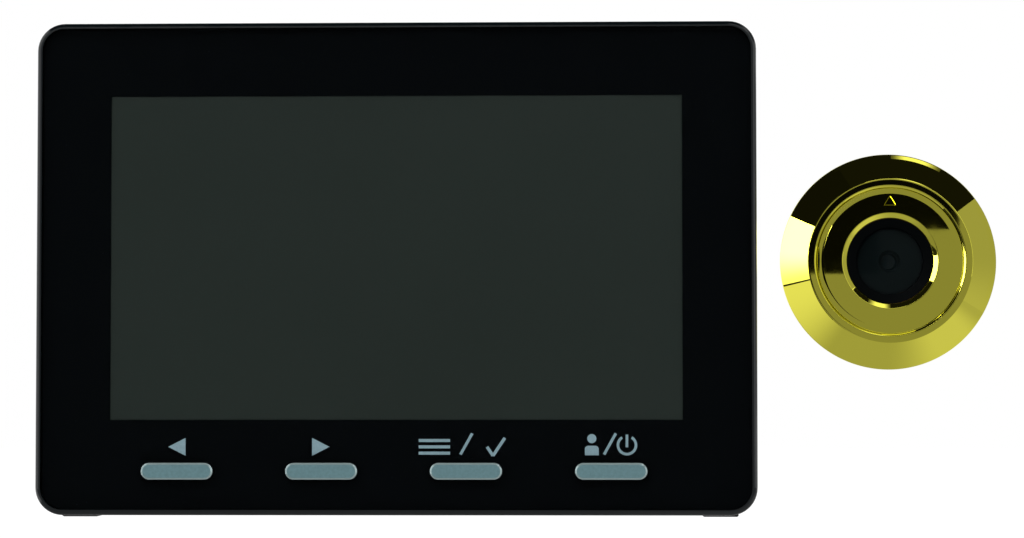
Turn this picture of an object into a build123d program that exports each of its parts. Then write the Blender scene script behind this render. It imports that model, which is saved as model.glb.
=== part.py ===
from build123d import *
import math
import os

os.makedirs("parts", exist_ok=True)

# Frame: +X to the viewer's right, +Y into the door, +Z up. The door's face is the plane y = 0,
# and the origin is the centre of the bracket's tube hole on that plane. All sizes are millimetres.

# Cuts and fits
overrun = 1.0
cell_play = 0.3
slide_play = 0.15
drop_in_play = 0.1
screw_play = 0.05

# Door bracket: a moulded plate with four upturned hooks
bracket_width = 64.0
bracket_over_board = 0.375
bracket_thickness = 1.6
bracket_corner = 4.0
tube_hole_radius = 8.5
bracket_screw_radius = 1.75
bracket_screw_edge = 4.5
bracket_screw_hook_gap = 1.3
countersink_radius = 3.2
countersink_depth = 1.0
hook_width = 11.0
hook_neck = 1.6
hook_lip = 1.4
hook_lip_height = 5.0
hook_reach_gap = 0.4
hook_side_edge = 4.5
hook_top_edge = 3.5
hook_low_edge = 11.5
hook_lift_spare = 0.6
hang_gap = 0.3
hook_bearing_gap = 0.02

# Monitor: outer form, whose width, height and depth follow what it holds
body_corner = 4.6
rim_round = 0.95
back_round = 2.4
side_wall = 1.8
back_wall = 2.2
front_wall = 1.4
shell_lip = 0.2

# Monitor: front panel and screen
panel_inset = 1.0
panel_thickness = 1.4
panel_edge = 0.15
mask_thickness = 0.2
screen_width = 95.04
screen_height = 53.86
glass_over_side = 4.08
glass_over_top = 7.42
glass_over_bottom = 3.32
glass_thickness = 1.5
lcd_frame_rim = 1.2
lcd_frame_thickness = 3.2
lcd_frame_floor = 0.4
lcd_top_gap = 1.75
light_guide_margin = 0.2

# Monitor: four pill buttons below the screen
button_width = 11.9
button_height = 2.75
button_proud = 0.5
button_chamfer = 0.3
button_row_rise = 7.3
button_row_gap = 1.975
button_first_edge = 11.37
button_last_edge = 11.82
button_names = ("left", "right", "menu", "power")
button_play = 0.15
button_flange = 0.6
button_flange_thickness = 0.75
button_flange_gap = 0.05
button_travel = 0.4
plunger_radius = 0.9
plunger_length = 1.1
switch_size = 4.4
switch_height = 1.2
switch_floor = 0.2
key_board_margin = 8.0
key_board_height = 6.4
key_bay_gap = 0.2
key_board_thickness = 1.0
key_post_radius = 1.6
key_pin_radius = 0.75
key_pin_stand = 0.8

# Monitor: printed marks above the buttons, all in the mask's thickness
mark_step = 4.0
arrow_height = 2.95
arrow_length = 2.9
arrow_shift = -0.19
menu_bar_width = 5.2
menu_bar_height = 0.5
menu_bar_pitch = 1.05
menu_bar_shift = 5.3
tick_stroke = 0.5
tick_knee_share = 1 / 3
tick_shift = 4.9
slash_stroke = 0.45
slash_length = 4.0
slash_tilt = 29.2
slash_rise = 0.48
person_shift = 3.2
person_rise = 0.36
power_slash_shift = 0.2
person_head = 0.75
person_shoulder = 1.15
person_height = 3.5
power_shift = 2.6
power_rise = 0.28
power_ring_radius = 1.7
power_ring_stroke = 0.43
power_bar_length = 2.1
power_bar_low = 0.35
power_gap_angle = 64.0

# Monitor: batteries and their bay
cell_radius = 5.25
cell_nub_radius = 1.9
cell_nub_length = 1.0
cell_end_gap = 0.1
bay_side_room = 11.25
bay_wall = 1.2
bay_floor = 1.2
bay_bottom_rise = 5.2
contact_thickness = 0.4
contact_width = 7.6
contact_leaf = 3.8
contact_leaf_width = 3.6
leaf_tip_share = 1 / 3
door_lip = 1.0
door_tongue = 1.0
door_overlap = 0.9
door_groove_count = 5
door_groove_width = 14.0
door_groove_height = 0.8
door_groove_pitch = 1.6
door_groove_depth = 0.35

# Monitor: boards, sockets, card and speaker
board_side_gap = 2.95
board_gap = 1.0
board_thickness = 1.2
board_lcd_gap = 1.1
board_post_radius = 2.4
board_post_inset_x = 6.0
board_post_inset_z = 3.5
board_screw_radius = 0.9
board_screw_head_radius = 1.7
board_screw_head = 0.7
board_screw_length = 5.0
chip_size = 12.0
chip_height = 1.2
chip_edge = 1.0
chip_gap = 9.0
memory_chip_width = 8.0
ribbon_socket_width = 18.0
ribbon_socket_height = 5.0
ribbon_socket_depth = 2.4
ribbon_slot_height = 0.8
ribbon_slot_depth = 1.6
ribbon_opening_width = 24.0
ribbon_opening_height = 12.0
card_width = 11.0
card_length = 15.0
card_thickness = 0.8
card_socket_width = 14.0
card_socket_length = 14.2
card_socket_height = 1.9
card_edge_gap = 0.3
card_drop = 1.0
card_notch = 0.7
usb_width = 7.6
usb_height = 2.9
usb_length = 5.6
usb_shell = 0.35
usb_tongue_width = 4.6
usb_tongue_thickness = 0.7
usb_drop = 1.0
port_play = 0.3
speaker_radius = 7.5
speaker_depth = 4.5
speaker_step = 1.2
speaker_pot_share = 2 / 3
speaker_rib = 1.0
grille_hole_radius = 0.6
grille_ring_pitch = 2.6
grille_rings = 2

# Monitor: housing screws and feet
screw_inset_z = 6.25
boss_radius = 2.3
boss_frame_gap = 0.4
boss_wall_gap = 0.22
post_radius = 3.0
screw_radius = 1.0
screw_head_radius = 1.9
screw_head = 1.3
screw_grip = 3.5
screw_bite = 6.0
screw_recess_radius = 2.15
cross_width = 0.5
cross_length = 2.2
cross_depth = 0.7
foot_width = 6.0
foot_split_gap = 0.3
foot_sunk = 0.9
foot_proud = 0.6
foot_edge = 0.2
foot_corner_inset = 5.75
foot_back_gap = 2.2

# Camera unit: place and gold front
camera_gap = 4.98
camera_rise = 1.8
gasket_thickness = 1.0
gasket_radius = 17.6
flange_radius = 18.5
flange_edge = 0.6
flange_height = 5.0
cone_front_radius = 14.0
cone_round = 0.3
land_radius = 13.15
land_bevel = 0.3
shelf_thickness = 2.6
ring_radius = 12.45
ring_round = 0.8
ring_setback = 0.15
bead_outer_radius = 8.2
bead_inner_radius = 7.35
bead_height = 0.35
up_mark_radius = 10.3
up_mark_width = 1.9
up_mark_height = 1.5
up_mark_depth = 0.15

# Camera unit: window and optics
bezel_radius = 7.25
window_radius = 5.65
window_thickness = 0.95
bezel_slope = 0.6
hood_thickness = 1.0
pupil_radius = 1.5
lens_wall = 1.0
lens_barrel_length = 6.5
lens_lip = 0.5
front_lens_dome = 0.5
front_lens_rim = 1.0
rear_lens_dome = 0.4
rear_lens_rim = 1.1
spacer_length = 1.2
spacer_wall = 0.5
mount_start = 0.5
mount_length = 7.5
mount_wall = 1.3
filter_thickness = 0.4
sensor_size = 3.8
sensor_thickness = 0.8
sensor_board_thickness = 1.0
tail_socket_width = 6.0
tail_socket_height = 2.0
tail_socket_depth = 1.5
tail_slot_share = 1 / 4

# Camera unit: barrel, washer and clamp nut
barrel_radius = 7.0
barrel_neck_relief = 0.4
barrel_wall = 1.5
barrel_collar_reach = 2.5
barrel_collar = 0.8
barrel_plain = 15.5
thread_step = 0.5
thread_depth = 0.4
thread_pitch = 1.5
thread_turns = 11
thread_rise_share = 3 / 8
thread_fall_share = 5 / 8
barrel_lead = 3.0
fit_play = 0.05
washer_reach = 4.0
washer_thickness = 1.2
nut_sides = 6
nut_wall = 2.5
nut_length = 5.0
nut_bevel = 0.6
nut_end_gap = 0.4

# Places worked out from the sizes above
glass_width = screen_width + 2 * glass_over_side
glass_height = screen_height + glass_over_top + glass_over_bottom
lcd_frame_width = glass_width + 2 * lcd_frame_rim
lcd_frame_height = glass_height + 2 * lcd_frame_rim
body_width = lcd_frame_width + 2 * (boss_frame_gap + 2 * boss_radius + boss_wall_gap + side_wall)
screen_top_margin = glass_over_top + lcd_frame_rim + lcd_top_gap + side_wall
button_top_rise = button_row_rise + button_height / 2 + button_flange
screen_bottom_margin = button_top_rise + button_row_gap + lcd_frame_rim + glass_over_bottom
body_height = screen_height + screen_top_margin + screen_bottom_margin
half_width = body_width / 2
half_height = body_height / 2

switch_stand = plunger_length + button_travel + drop_in_play + switch_floor
button_stack = front_wall + button_flange_gap + button_flange_thickness + switch_stand
bay_depth = bay_floor + 2 * cell_radius + cell_play + back_wall
panel_stack = panel_thickness + mask_thickness
body_depth = panel_stack + button_stack + key_board_thickness + key_bay_gap + bay_depth

back_y = -(bracket_thickness + hang_gap)
front_y = back_y - body_depth
inner_back_y = back_y - back_wall
mask_front_y = front_y + panel_thickness
mask_back_y = mask_front_y + mask_thickness
wall_back_y = mask_back_y + front_wall
lcd_back_y = mask_back_y + lcd_frame_thickness
board_front_y = lcd_back_y + board_lcd_gap
board_back_y = board_front_y + board_thickness
split_y = board_back_y + usb_height + port_play + shell_lip
flange_front_y = wall_back_y + button_flange_gap
flange_back_y = flange_front_y + button_flange_thickness
plunger_back_y = flange_back_y + plunger_length
switch_back_y = flange_back_y + switch_stand
key_board_back_y = switch_back_y + key_board_thickness
bay_floor_y = inner_back_y - 2 * cell_radius - cell_play
bay_front_y = bay_floor_y - bay_floor
screw_seat_y = split_y + screw_grip

bay_height = 4 * cell_radius + 3 * cell_play
board_top_rise = half_height - screw_inset_z - post_radius - board_gap
board_bottom_rise = -half_height + bay_bottom_rise + bay_height + bay_wall + board_gap
board_height = board_top_rise - board_bottom_rise
board_width = body_width - 2 * (side_wall + board_side_gap)
board_z = 0
centre_z = -(board_top_rise + board_bottom_rise) / 2
bottom_z = centre_z - half_height
screen_z = bottom_z + screen_bottom_margin + screen_height / 2
lcd_z = screen_z + (glass_over_top - glass_over_bottom) / 2
button_z = bottom_z + button_row_rise
mark_z = button_z + mark_step
button_span = screen_width - button_first_edge - button_last_edge
button_pitch = button_span / (len(button_names) - 1)
button_first_x = button_first_edge - screen_width / 2
button_xs = [button_first_x + index * button_pitch for index in range(len(button_names))]
key_board_x = (button_xs[0] + button_xs[-1]) / 2
key_board_width = button_xs[-1] - button_xs[0] + switch_size + 2 * key_board_margin
key_post_xs = [(a + b) / 2 for a, b in zip(button_xs, button_xs[1:])]

bay_width = body_width - 2 * bay_side_room
cell_length = bay_width / 2 - contact_leaf - cell_end_gap * 3 / 2
bay_bottom_z = bottom_z + bay_bottom_rise
bay_top_z = bay_bottom_z + bay_height
door_half_width = bay_width / 2 + door_overlap - door_tongue
door_top_z = bay_top_z + door_overlap
foot_x = half_width - foot_corner_inset
foot_length = back_y - split_y - foot_back_gap - foot_split_gap

bracket_height = board_height + 2 * bracket_over_board
hook_pitch_x = bracket_width - hook_width - 2 * hook_side_edge
hook_row_up = bracket_height / 2 - hook_top_edge - hook_lip_height
hook_row_down = bracket_height / 2 - hook_low_edge
bracket_screw_room = 2 * (countersink_radius + bracket_screw_hook_gap)
bracket_screw_pitch_x = hook_pitch_x - hook_width - bracket_screw_room
bracket_screw_pitch_z = bracket_height - 2 * bracket_screw_edge
hook_places = [
    (side * hook_pitch_x / 2, top) for side in (-1, 1) for top in (hook_row_up, -hook_row_down)
]

inner_x = half_width - side_wall
chip_x = ribbon_socket_width / 2 + chip_gap + chip_size / 2
chip_z = board_height / 2 - chip_edge - chip_size / 2
card_z = board_z - card_drop
usb_z = board_z - usb_drop
speaker_x = (hook_pitch_x / 2 + hook_width / 2 + cell_play + inner_x) / 2
speaker_z = board_z
screw_x = lcd_frame_width / 2 + boss_frame_gap + boss_radius
screw_z = half_height - screw_inset_z
screw_places = [(sx * screw_x, centre_z + sz * screw_z) for sx in (-1, 1) for sz in (-1, 1)]
board_post_x = board_width / 2 - board_post_inset_x
board_post_z = board_height / 2 - board_post_inset_z
board_post_places = [
    (sx * board_post_x, board_z + sz * board_post_z) for sx in (-1, 1) for sz in (-1, 1)
]
camera_x = half_width + camera_gap + flange_radius
camera_z = centre_z + camera_rise
seat_y = -gasket_thickness
gold_front_y = seat_y - flange_height
shelf_y = seat_y - shelf_thickness
ring_front_y = gold_front_y + ring_setback
window_front_y = shelf_y - window_thickness
hood_back_y = shelf_y + hood_thickness
lens_back_y = hood_back_y + lens_barrel_length
front_lens_y = hood_back_y + lens_lip + front_lens_dome
spacer_front_y = front_lens_y + front_lens_rim
rear_lens_y = spacer_front_y + spacer_length
mount_front_y = hood_back_y + mount_start
mount_back_y = mount_front_y + mount_length
barrel_bore = barrel_radius - barrel_wall
barrel_collar_radius = barrel_radius + barrel_collar_reach
lens_radius = barrel_bore - mount_wall - lens_wall - 3 * drop_in_play
thread_radius = barrel_radius - thread_step
washer_radius = barrel_radius + washer_reach
thread_end_y = barrel_plain + thread_pitch * thread_turns
barrel_end_y = thread_end_y + barrel_lead
nut_back_y = thread_end_y - nut_end_gap
nut_front_y = nut_back_y - nut_length
washer_front_y = nut_front_y - washer_thickness


def slab(outline, back, depth, x=0, z=0):
    """An outline in the XZ plane, made solid from its back plane towards the viewer."""
    return extrude(Plane.XZ.offset(-back) * Pos(x, z) * outline, depth)


def block(low, high):
    """A box between two opposite corners."""
    size = [b - a for a, b in zip(low, high)]
    return Pos(*low) * Box(*size, align=(Align.MIN, Align.MIN, Align.MIN))


def rod(radius, front, back, x=0, z=0):
    """A round rod along Y between two planes."""
    return slab(Circle(radius), back, back - front, x, z)


def tube(outer, inner, front, back, x=0, z=0):
    """A round tube along Y between two planes."""
    return rod(outer, front, back, x, z) - rod(inner, front - overrun, back + overrun, x, z)


def turned(points):
    """A closed profile of (radius, y) points, turned about the camera's axis."""
    face = make_face(Polyline(*points, close=True))
    return Pos(camera_x, 0, camera_z) * revolve(face, Axis.Y)


def camera_rod(radius, front, back):
    """A round rod on the camera's axis."""
    return rod(radius, front, back, camera_x, camera_z)


def camera_tube(outer, inner, front, back):
    """A round tube on the camera's axis."""
    return tube(outer, inner, front, back, camera_x, camera_z)


def save(shape, node):
    """One file for one named piece or group of like pieces."""
    export_step(shape, "parts/" + node + ".step")


def group(pieces):
    """Separate like pieces kept under one name."""
    return Compound(children=list(pieces))


# Body of the monitor
def body_outline(inset=0):
    """The monitor's rounded outline, drawn in by a given amount."""
    radius = body_corner - min(inset, body_corner / 2)
    return RectangleRounded(body_width - 2 * inset, body_height - 2 * inset, radius)


def body_form():
    """The whole outer form of the monitor, with its rounded front rim and softer back edge."""
    form = slab(body_outline(), back_y, body_depth, 0, centre_z)
    form = fillet(form.faces().sort_by(Axis.Y)[0].edges(), rim_round)
    return fillet(form.faces().sort_by(Axis.Y)[-1].edges(), back_round)


def pill(grow=0):
    """A button's outline with full round ends, grown all round by a given amount."""
    return SlotOverall(button_width + 2 * grow, button_height + 2 * grow)


def screen_window():
    """The clear window over the screen."""
    return Rectangle(screen_width, screen_height)


def button_openings(front, back, grow):
    """One pill-shaped opening for each button."""
    return [slab(pill(grow), back, back - front, x, button_z) for x in button_xs]


def front_housing(form):
    """The front shell: rim, wall behind the panel, screw bosses and key board posts."""
    shell = form & slab(Rectangle(body_width, body_height), split_y, split_y - front_y, 0, centre_z)
    inner = body_outline(side_wall)
    shell -= slab(inner, split_y + overrun, split_y + overrun - wall_back_y, 0, centre_z)
    recess = body_outline(panel_inset - drop_in_play)
    shell -= slab(recess, mask_back_y, mask_back_y - front_y + overrun, 0, centre_z)
    for x, z in screw_places:
        shell += rod(boss_radius, wall_back_y - front_wall / 2, split_y, x, z)
    shell &= form
    for x, z in screw_places:
        shell -= rod(screw_radius + screw_play, split_y - screw_bite - overrun, split_y + overrun, x, z)
    for x in key_post_xs:
        post_back = key_board_back_y - key_board_thickness
        shell += rod(key_post_radius, wall_back_y - front_wall / 2, post_back, x, button_z)
        shell += rod(key_pin_radius, post_back - front_wall, post_back + key_pin_stand, x, button_z)
    frame_hole = Rectangle(lcd_frame_width + 2 * drop_in_play, lcd_frame_height + 2 * drop_in_play)
    shell -= slab(frame_hole, wall_back_y + overrun, front_wall + 2 * overrun, 0, lcd_z)
    for cut in button_openings(front_y, wall_back_y + overrun, button_play):
        shell -= cut
    card_cut_low = (-half_width - overrun, card_front_y() - slide_play, card_z - card_width / 2 - slide_play)
    card_cut_high = (
        -inner_x + overrun,
        card_front_y() + card_thickness + slide_play,
        card_z + card_width / 2 + slide_play,
    )
    shell -= block(card_cut_low, card_cut_high)
    usb_cut_low = (inner_x - overrun, board_back_y - port_play, usb_z - usb_width / 2 - port_play)
    usb_cut_high = (
        half_width + overrun,
        board_back_y + usb_height + port_play,
        usb_z + usb_width / 2 + port_play,
    )
    return shell - block(usb_cut_low, usb_cut_high)


def door_space(grow):
    """The sliding battery door's room: a flush plate with a wider tongue below it."""
    bottom = bottom_z - overrun
    top = door_top_z + grow
    plate_low = (-door_half_width - grow, inner_back_y, bottom)
    plate = block(plate_low, (door_half_width + grow, back_y + overrun, top))
    reach = door_half_width + door_tongue + grow
    tongue_low = (-reach, inner_back_y, bottom)
    tongue_back = back_y - door_lip - (slide_play - grow)
    return plate + block(tongue_low, (reach, tongue_back, top + door_tongue))


def battery_door(form):
    """The sliding door over the batteries, flush with the back, with a ribbed thumb grip."""
    door = door_space(0) & form
    first = door_top_z - door_groove_pitch * (door_groove_count + 1)
    for index in range(door_groove_count):
        low_z = first + index * door_groove_pitch
        low = (-door_groove_width / 2, back_y - door_groove_depth, low_z)
        high = (door_groove_width / 2, back_y + overrun, low_z + door_groove_height)
        door -= block(low, high)
    return door


def speaker_holes():
    """Round sound holes in rings over the speaker."""
    places = [(0, 0)]
    for ring in range(1, grille_rings + 1):
        count = 6 * ring
        for index in range(count):
            angle = 2 * math.pi * index / count
            reach = ring * grille_ring_pitch
            places.append((reach * math.cos(angle), reach * math.sin(angle)))
    return [
        rod(grille_hole_radius, inner_back_y - overrun, back_y + overrun, speaker_x + x, speaker_z + z)
        for x, z in places
    ]


def hook_slot(x, top):
    """The slot that one bracket hook enters; its upper edge hangs on the hook's neck."""
    height = hook_neck + hook_lip_height + 2 * hook_lift_spare
    low = (x - hook_width / 2 - cell_play, inner_back_y - overrun, top + hook_bearing_gap - height)
    high = (x + hook_width / 2 + cell_play, back_y + overrun, top + hook_bearing_gap)
    return block(low, high)


def foot_block(x):
    """One foot's block, let into the bottom wall near a corner."""
    back = back_y - foot_back_gap
    low = (x - foot_width / 2, back - foot_length, bottom_z - foot_proud)
    return block(low, (x + foot_width / 2, back, bottom_z + foot_sunk))


def rear_housing(form):
    """The rear shell: hook slots, battery bay, posts, sound holes and the ribbon opening."""
    shell = form & slab(Rectangle(body_width, body_height), back_y, back_y - split_y, 0, centre_z)
    inner = body_outline(side_wall)
    shell -= slab(inner, inner_back_y, inner_back_y - split_y + overrun, 0, centre_z)
    outer_x = bay_width / 2 + bay_wall
    bay_low = (-outer_x, bay_front_y, bay_bottom_z - bay_wall)
    shell += block(bay_low, (outer_x, inner_back_y + back_wall / 2, bay_top_z + bay_wall))
    for x, z in screw_places:
        shell += rod(post_radius, split_y, inner_back_y + back_wall / 2, x, z)
    for x, z in board_post_places:
        shell += rod(board_post_radius, board_back_y, inner_back_y + back_wall / 2, x, z)
    rib = tube(
        speaker_radius + drop_in_play + speaker_rib,
        speaker_radius + drop_in_play,
        inner_back_y - speaker_depth / 2,
        inner_back_y + back_wall / 2,
        speaker_x,
        speaker_z,
    )
    shell += rib & block(
        (0, inner_back_y - speaker_depth, bottom_z),
        (half_width, inner_back_y + back_wall / 2, centre_z + half_height),
    )
    bay_cut_low = (-bay_width / 2, bay_floor_y, bay_bottom_z)
    shell -= block(bay_cut_low, (bay_width / 2, back_y + overrun, bay_top_z))
    shell -= door_space(slide_play)
    for x, z in screw_places:
        shell -= rod(screw_radius + screw_play, split_y - overrun, back_y + overrun, x, z)
        shell -= rod(screw_recess_radius, screw_seat_y, back_y + overrun, x, z)
    for x, z in board_post_places:
        hole_back = board_back_y + board_screw_length
        shell -= rod(board_screw_radius + screw_play, board_back_y - overrun, hole_back, x, z)
    for x, top in hook_places:
        shell -= hook_slot(x, top)
    opening = Rectangle(ribbon_opening_width, ribbon_opening_height)
    shell -= slab(opening, back_y + overrun, back_wall + 2 * overrun)
    for hole in speaker_holes():
        shell -= hole
    for side in (-1, 1):
        shell -= foot_block(side * foot_x)
    return shell


def front_panel():
    """The clear acrylic front, with the four button openings."""
    outline = body_outline(panel_inset)
    panel = slab(outline, mask_front_y, panel_thickness, 0, centre_z)
    panel = chamfer(panel.faces().sort_by(Axis.Y)[0].edges(), panel_edge)
    for cut in button_openings(front_y - overrun, mask_front_y + overrun, button_play):
        panel -= cut
    return panel


# Printed marks above the buttons
def arrow(direction):
    """A triangle pointing left (-1) or right (1)."""
    tip = (direction * arrow_length / 2, 0)
    high = (-direction * arrow_length / 2, arrow_height / 2)
    low = (-direction * arrow_length / 2, -arrow_height / 2)
    return make_face(Polyline(tip, high, low, close=True))


def slash():
    """A leaning stroke between two marks."""
    return Pos(0, slash_rise) * Rot(0, 0, -slash_tilt) * Rectangle(slash_stroke, slash_length)


def menu_bars():
    """Three level bars."""
    bars = Rectangle(menu_bar_width, menu_bar_height)
    for side in (-1, 1):
        bars += Pos(0, side * menu_bar_pitch) * Rectangle(menu_bar_width, menu_bar_height)
    return bars


def tick():
    """A tick of two strokes."""
    short = arrow_height / 2
    path = [(-short, 0), (-short * tick_knee_share, -short), (short, short)]
    strokes = [trace(Line(a, b), tick_stroke) for a, b in zip(path, path[1:])]
    return strokes[0] + strokes[1]


def person():
    """A head over a shoulder bust."""
    base = -person_height / 2
    neck = base + person_height - 2 * person_head - power_ring_stroke
    head = Pos(0, person_height / 2 - person_head) * Circle(person_head)
    bust = Pos(0, (base + neck) / 2) * Rectangle(2 * person_shoulder, neck - base)
    bust = fillet(bust.vertices().group_by(Axis.Y)[-1], person_shoulder / 2)
    return Pos(0, person_rise) * (head + bust)


def power_sign():
    """A broken ring with a bar in its gap."""
    inner = power_ring_radius - power_ring_stroke
    ring = Circle(power_ring_radius) - Circle(inner)
    reach = 2 * power_ring_radius
    spread = reach * math.tan(math.radians(power_gap_angle / 2))
    ring -= make_face(Polyline((0, 0), (spread, reach), (-spread, reach), close=True))
    bar_centre = power_bar_length / 2 - power_bar_low
    bar = Pos(0, bar_centre) * Rectangle(power_ring_stroke, power_bar_length)
    return Pos(0, power_rise) * (ring + bar)


def mark_sketches():
    """Every printed mark with its centre along the row."""
    previous_x, next_x, menu_x, power_x = button_xs
    return [
        (arrow(-1), previous_x + arrow_shift),
        (arrow(1), next_x + arrow_shift),
        (menu_bars(), menu_x - menu_bar_shift),
        (slash(), menu_x),
        (tick(), menu_x + tick_shift),
        (person(), power_x - person_shift),
        (slash(), power_x - power_slash_shift),
        (power_sign(), power_x + power_shift),
    ]


def marks():
    """The marks as thin inlays in the mask."""
    return [slab(sketch, mask_back_y, mask_thickness, x, mark_z) for sketch, x in mark_sketches()]


def panel_mask(inlays):
    """The black print behind the panel, open at the screen, the buttons and the marks."""
    mask = slab(body_outline(panel_inset), mask_back_y, mask_thickness, 0, centre_z)
    cut_depth = mask_thickness + 2 * overrun
    mask -= slab(screen_window(), mask_back_y + overrun, cut_depth, 0, screen_z)
    for cut in button_openings(mask_front_y - overrun, mask_back_y + overrun, button_play):
        mask -= cut
    for inlay in inlays:
        mask -= inlay
    return mask


# Screen
def lcd_frame():
    """The tray that holds the glass and the light guide."""
    outline = Rectangle(lcd_frame_width, lcd_frame_height)
    frame = slab(outline, lcd_back_y, lcd_frame_thickness, 0, lcd_z)
    pocket = Rectangle(glass_width + 2 * drop_in_play, glass_height + 2 * drop_in_play)
    pocket_back = lcd_back_y - lcd_frame_floor
    return frame - slab(pocket, pocket_back, lcd_frame_thickness, 0, lcd_z)


def lcd_glass():
    """The liquid crystal glass, face to face with the mask."""
    outline = Rectangle(glass_width, glass_height)
    return slab(outline, mask_back_y + glass_thickness, glass_thickness, 0, lcd_z)


def light_guide():
    """The backlight's clear plate, behind the glass."""
    outline = Rectangle(glass_width - light_guide_margin, glass_height - light_guide_margin)
    back = lcd_back_y - lcd_frame_floor
    depth = back - mask_back_y - glass_thickness
    return slab(outline, back, depth, 0, lcd_z)


# Buttons and their switches
def button_cap(x):
    """A pill button with a polished chamfer and a retaining flange behind the wall."""
    front = front_y - button_proud
    cap = slab(pill(), flange_back_y, flange_back_y - front, x, button_z)
    cap = chamfer(cap.faces().sort_by(Axis.Y)[0].edges(), button_chamfer)
    return cap + slab(pill(button_flange), flange_back_y, button_flange_thickness, x, button_z)


def plunger(x):
    """The switch's moving pin, pushed by the button."""
    return rod(plunger_radius, flange_back_y, plunger_back_y, x, button_z)


def key_switch(x):
    """The fixed case of one tactile switch, with its plunger well."""
    case = slab(Rectangle(switch_size, switch_size), switch_back_y, switch_height, x, button_z)
    well = rod(
        plunger_radius + fit_play,
        switch_back_y - switch_height - overrun,
        switch_back_y - switch_floor,
        x,
        button_z,
    )
    return case - well


def key_board():
    """The strip board behind the buttons, staked on three pins."""
    outline = Rectangle(key_board_width, key_board_height)
    board = slab(outline, key_board_back_y, key_board_thickness, key_board_x, button_z)
    for x in key_post_xs:
        hole_front = key_board_back_y - key_board_thickness - overrun
        board -= rod(key_pin_radius + drop_in_play, hole_front, key_board_back_y + overrun, x, button_z)
    return board


# Batteries
def cell_places():
    """Each cell's centre along X and Z, with the side that its nub points to."""
    places = []
    for row in (0, 1):
        z = bay_bottom_z + cell_play + cell_radius + row * (2 * cell_radius + cell_play)
        facing = 1 - 2 * row
        for side in (-1, 1):
            places.append((side * (cell_length + cell_end_gap) / 2, z, facing))
    return places


def battery_cell(x, z, facing):
    """One small round cell lying along X, with its nub at one end."""
    y = (bay_floor_y + inner_back_y) / 2
    shift = -facing * cell_nub_length / 2
    can = Pos(x + shift, y, z) * Rot(0, 90, 0) * Cylinder(cell_radius, cell_length - cell_nub_length)
    nub_x = x + shift + facing * cell_length / 2
    nub = Pos(nub_x, y, z) * Rot(0, 90, 0) * Cylinder(cell_nub_radius, cell_nub_length)
    return can + nub


def battery_contact(side, z):
    """A sprung plate at one end of the bay, with a leaf that meets the cell."""
    wall_x = side * bay_width / 2
    y = (bay_floor_y + inner_back_y) / 2
    plate_x = wall_x - side * contact_thickness / 2
    plate = Pos(plate_x, y, z) * Box(contact_thickness, contact_width, contact_width)
    tip = wall_x - side * contact_leaf
    leaf_half = contact_leaf_width / 2
    profile = Polyline(
        (wall_x - side * contact_thickness, leaf_half),
        (tip, leaf_half * leaf_tip_share),
        (tip, -leaf_half * leaf_tip_share),
        (wall_x - side * contact_thickness, -leaf_half),
        close=True,
    )
    leaf = extrude(Plane.XZ.offset(-y) * Pos(0, z) * make_face(profile), leaf_half, both=True)
    return plate + leaf


# Boards, sockets and speaker
def main_board():
    """The main circuit board, screwed to four posts of the rear shell."""
    outline = Rectangle(board_width, board_height)
    board = slab(outline, board_back_y, board_thickness, 0, board_z)
    for x, z in board_post_places:
        board -= rod(board_screw_radius + drop_in_play, board_front_y - overrun, board_back_y + overrun, x, z)
    return board


def board_screw(x, z):
    """A small screw through the board into its post."""
    head = rod(board_screw_head_radius, board_front_y - board_screw_head, board_front_y, x, z)
    tip = board_back_y + board_screw_length - board_screw_head
    return head + rod(board_screw_radius, board_front_y - board_screw_head, tip, x, z)


def chip(width, height, x, z):
    """A flat chip on the board's rear face."""
    return slab(Rectangle(width, height), board_back_y + chip_height, chip_height, x, z)


def ribbon_socket():
    """The socket for the camera's ribbon, facing the opening in the back."""
    back = board_back_y + ribbon_socket_depth
    outline = Rectangle(ribbon_socket_width, ribbon_socket_height)
    socket = slab(outline, back, ribbon_socket_depth)
    slot = Rectangle(ribbon_socket_width - ribbon_socket_height / 2, ribbon_slot_height)
    return socket - slab(slot, back + overrun, ribbon_slot_depth + overrun)


def card_front_y():
    """The front plane of the memory card in its socket."""
    return board_back_y + (card_socket_height - card_thickness) / 2


def memory_card():
    """A small memory card with its side notch, held flush in the left side."""
    low_x = -half_width + card_edge_gap
    low = (low_x, card_front_y(), card_z - card_width / 2)
    high = (low_x + card_length, card_front_y() + card_thickness, card_z + card_width / 2)
    card = block(low, high)
    notch_low = (low_x + card_length / 2, card_front_y() - overrun, high[2] - card_notch)
    notch_high = (low_x + card_length / 2 + card_notch, high[1] + overrun, high[2] + overrun)
    return card - block(notch_low, notch_high)


def card_socket():
    """The metal sleeve on the board that guides the card."""
    low_x = -inner_x + card_edge_gap
    low = (low_x, board_back_y, card_z - card_socket_width / 2)
    high = (low_x + card_socket_length, board_back_y + card_socket_height, card_z + card_socket_width / 2)
    shell = block(low, high)
    room_low = (low_x - overrun, card_front_y() - slide_play, card_z - card_width / 2 - slide_play)
    room_high = (
        -half_width + card_edge_gap + card_length + slide_play,
        card_front_y() + card_thickness + slide_play,
        card_z + card_width / 2 + slide_play,
    )
    return shell - block(room_low, room_high)


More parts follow.
